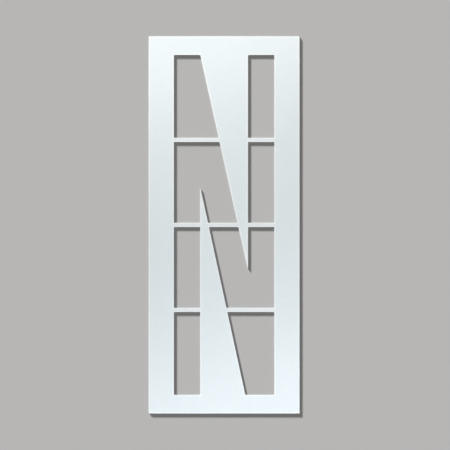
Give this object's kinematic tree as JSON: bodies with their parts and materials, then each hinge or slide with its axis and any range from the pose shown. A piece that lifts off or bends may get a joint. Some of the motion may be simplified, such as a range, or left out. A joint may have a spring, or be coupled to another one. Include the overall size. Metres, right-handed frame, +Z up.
{
  "type": "road marking stencil",
  "caption": "Flat plastic sheet with a tall narrow letter N cut out of it, its inner parts held by straight bridges, used to paint the letter on a road.",
  "frame": {"origin": "middle of the sheet's underside, halfway along its length and its width", "axes": "+Z up out of the road; +Y along the letter, from its foot to its head; +X to the letter's right as it is read"},
  "size_m": [0.811, 2.0288, 0.0032],
  "materials": {
    "polyethylene": "satin natural white low-density polyethylene sheet, faintly blue"
  },
  "bodies": {
    "root": {"stencil_sheet": "polyethylene"}
  },
  "joints": []
}
